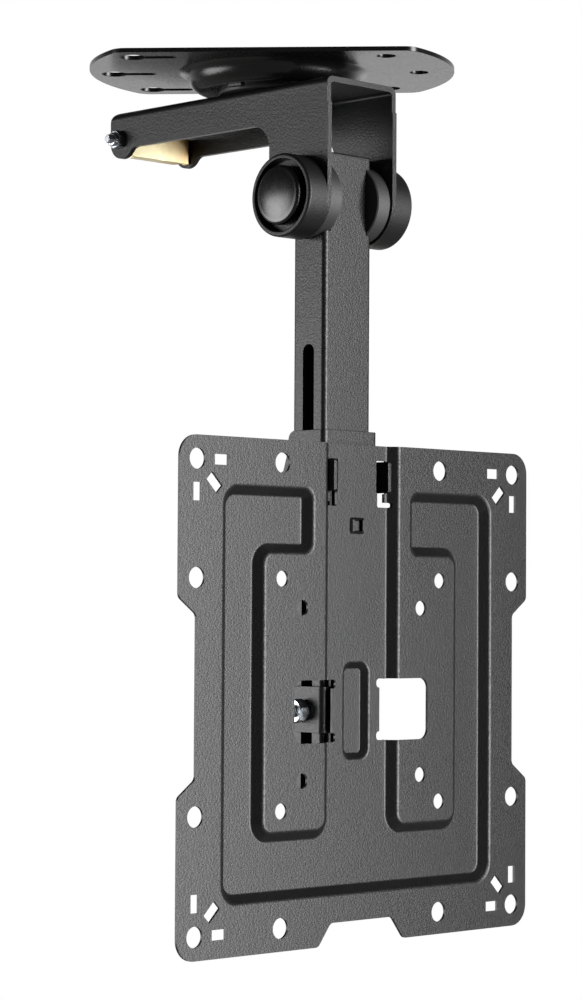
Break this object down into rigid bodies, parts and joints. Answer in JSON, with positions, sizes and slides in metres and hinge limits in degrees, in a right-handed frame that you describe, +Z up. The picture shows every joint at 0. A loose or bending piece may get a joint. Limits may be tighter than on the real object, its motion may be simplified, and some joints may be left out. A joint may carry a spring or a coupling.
{
  "type": "folding tv ceiling mount",
  "caption": "Ceiling mount for a small screen: swivelling ceiling plate, folding arm, height-adjustable column, pressed screen plate and a latch that holds it folded.",
  "frame": {"origin": "the swivel axis at the ceiling, level with the ceiling plate's top face", "axes": "+Z up into the ceiling, +X along the fold pivot, +Y along the arm towards the latch; the screen faces -Y"},
  "size_m": [0.22, 0.1717, 0.3954],
  "materials": {
    "black_powder_coat": "fine-textured matt powder coat on pressed steel",
    "bright_zinc": "bright zinc plating",
    "yellow_zinc": "yellow passivated zinc plating",
    "satin_black_plastic": "satin moulded plastic",
    "gloss_black_plastic": "polished moulded plastic",
    "black_nylon": "moulded nylon"
  },
  "bodies": {
    "ceiling": {"ceiling_plate": "black_powder_coat", "swivel_bolt": "bright_zinc", "swivel_washer": "bright_zinc", "swivel_nut": "bright_zinc", "swivel_glide": "black_nylon"},
    "arm": {"arm_yoke": "black_powder_coat", "pivot_cover_left": "satin_black_plastic", "pivot_cover_right": "satin_black_plastic", "pivot_cap_left": "gloss_black_plastic", "pivot_cap_right": "gloss_black_plastic", "pivot_bolt": "bright_zinc", "pivot_nut": "bright_zinc", "pivot_washers": "bright_zinc", "latch_bolt": "bright_zinc", "latch_nut": "bright_zinc", "latch_spring": "bright_zinc"},
    "column": {"column_tube": "black_powder_coat", "column_top_plug": "satin_black_plastic", "column_bottom_plug": "satin_black_plastic", "friction_disc_left": "black_nylon", "friction_disc_right": "black_nylon", "pivot_sleeve": "bright_zinc"},
    "carriage": {"guide_bracket": "black_powder_coat", "vesa_plate": "black_powder_coat", "striker_pin": "bright_zinc", "clamp_bolt": "bright_zinc", "clamp_nut": "bright_zinc", "clamp_washers": "bright_zinc"},
    "latch": {"latch_lever": "yellow_zinc"}
  },
  "joints": [
    {"name": "swivel", "type": "hinge", "parent": "ceiling", "child": "arm", "pos_m": [0, 0, 0], "axis": [0, 0, 1], "continuous": true},
    {"name": "fold", "type": "hinge", "parent": "arm", "child": "column", "pos_m": [0, -0.0388, -0.0655], "axis": [1, 0, 0], "range_deg": [-15, 90]},
    {"name": "height", "type": "slide", "parent": "column", "child": "carriage", "axis": [0, 0, 1], "range_m": [-0.04, 0.075]},
    {"name": "latch_turn", "type": "hinge", "parent": "arm", "child": "latch", "pos_m": [0, 0.0825, -0.0264], "axis": [1, 0, 0], "range_deg": [-25, 0], "stiffness_Nm_per_rad": 0.05, "springref_deg": 17.19, "deforming": ["latch_spring"]}
  ]
}
